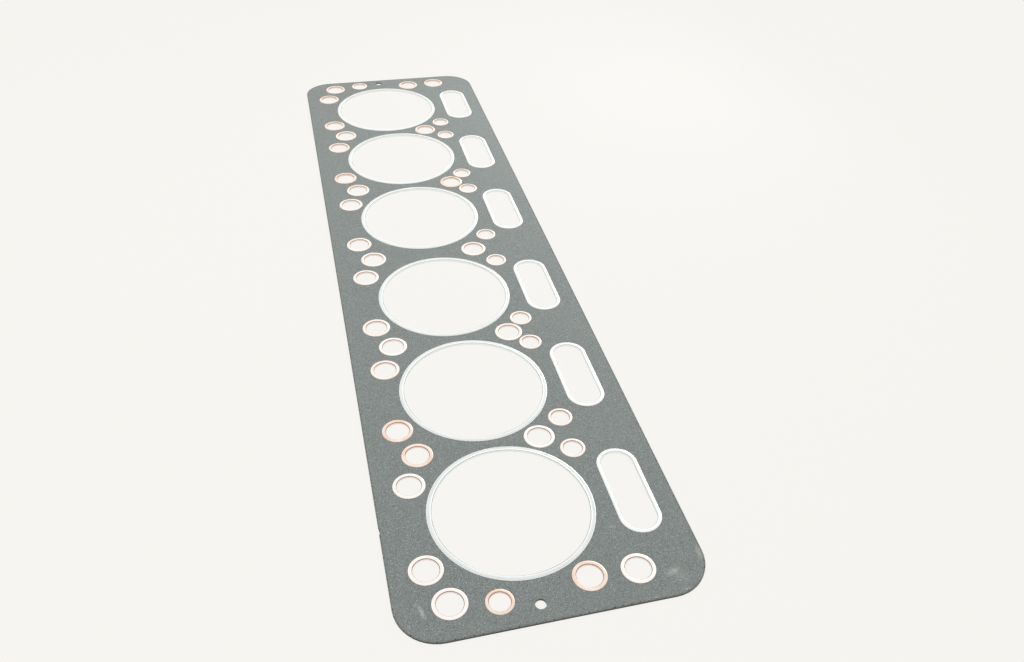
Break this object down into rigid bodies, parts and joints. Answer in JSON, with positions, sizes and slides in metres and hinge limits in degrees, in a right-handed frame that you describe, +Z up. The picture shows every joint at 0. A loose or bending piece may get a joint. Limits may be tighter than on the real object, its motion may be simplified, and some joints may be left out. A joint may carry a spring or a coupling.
{
  "type": "cylinder head gasket",
  "caption": "Flat laminated engine gasket: graphite-faced steel sheet with steel rings folded round the cylinder bores and long ports, and copper eyelets in the bolt holes.",
  "frame": {"origin": "under the middle of the sheet's bounding box, on the surface that the gasket lies on", "axes": "+X along the row of bores, towards the end that is nearest in the picture; +Y across it, towards the long ports; +Z up, out of the head side"},
  "size_m": [0.7468, 0.191, 0.002],
  "materials": {
    "graphite_facing": "matte",
    "core_steel": "satin",
    "fire_ring_steel": "satin",
    "port_ring_steel": "satin",
    "copper": "satin"
  },
  "bodies": {
    "root": {"carrier_sheet": "core_steel", "upper_facing": "graphite_facing", "lower_facing": "graphite_facing", "fire_ring_1": "fire_ring_steel", "fire_ring_2": "fire_ring_steel", "fire_ring_3": "fire_ring_steel", "fire_ring_4": "fire_ring_steel", "fire_ring_5": "fire_ring_steel", "fire_ring_6": "fire_ring_steel", "port_ring_1": "port_ring_steel", "port_ring_2": "port_ring_steel", "port_ring_3": "port_ring_steel", "port_ring_4": "port_ring_steel", "port_ring_5": "port_ring_steel", "port_ring_6": "port_ring_steel", "bolt_eyelet_1": "copper", "bolt_eyelet_2": "copper", "bolt_eyelet_3": "copper", "bolt_eyelet_4": "copper", "bolt_eyelet_5": "copper", "bolt_eyelet_6": "copper", "bolt_eyelet_7": "copper", "bolt_eyelet_8": "copper", "bolt_eyelet_9": "copper", "bolt_eyelet_10": "copper", "bolt_eyelet_11": "copper", "bolt_eyelet_12": "copper", "bolt_eyelet_13": "copper", "bolt_eyelet_14": "copper", "bolt_eyelet_15": "copper", "bolt_eyelet_16": "copper", "bolt_eyelet_17": "copper", "bolt_eyelet_18": "copper", "bolt_eyelet_19": "copper", "bolt_eyelet_20": "copper", "bolt_eyelet_21": "copper", "bolt_eyelet_22": "copper", "bolt_eyelet_23": "copper", "bolt_eyelet_24": "copper", "bolt_eyelet_25": "copper", "bolt_eyelet_26": "copper", "bolt_eyelet_27": "copper", "bolt_eyelet_28": "copper", "small_eyelet_1": "copper", "small_eyelet_2": "copper", "small_eyelet_3": "copper", "small_eyelet_4": "copper", "small_eyelet_5": "copper", "small_eyelet_6": "copper", "small_eyelet_7": "copper", "small_eyelet_8": "copper", "small_eyelet_9": "copper", "small_eyelet_10": "copper", "small_eyelet_11": "copper", "small_eyelet_12": "copper"}
  },
  "joints": []
}
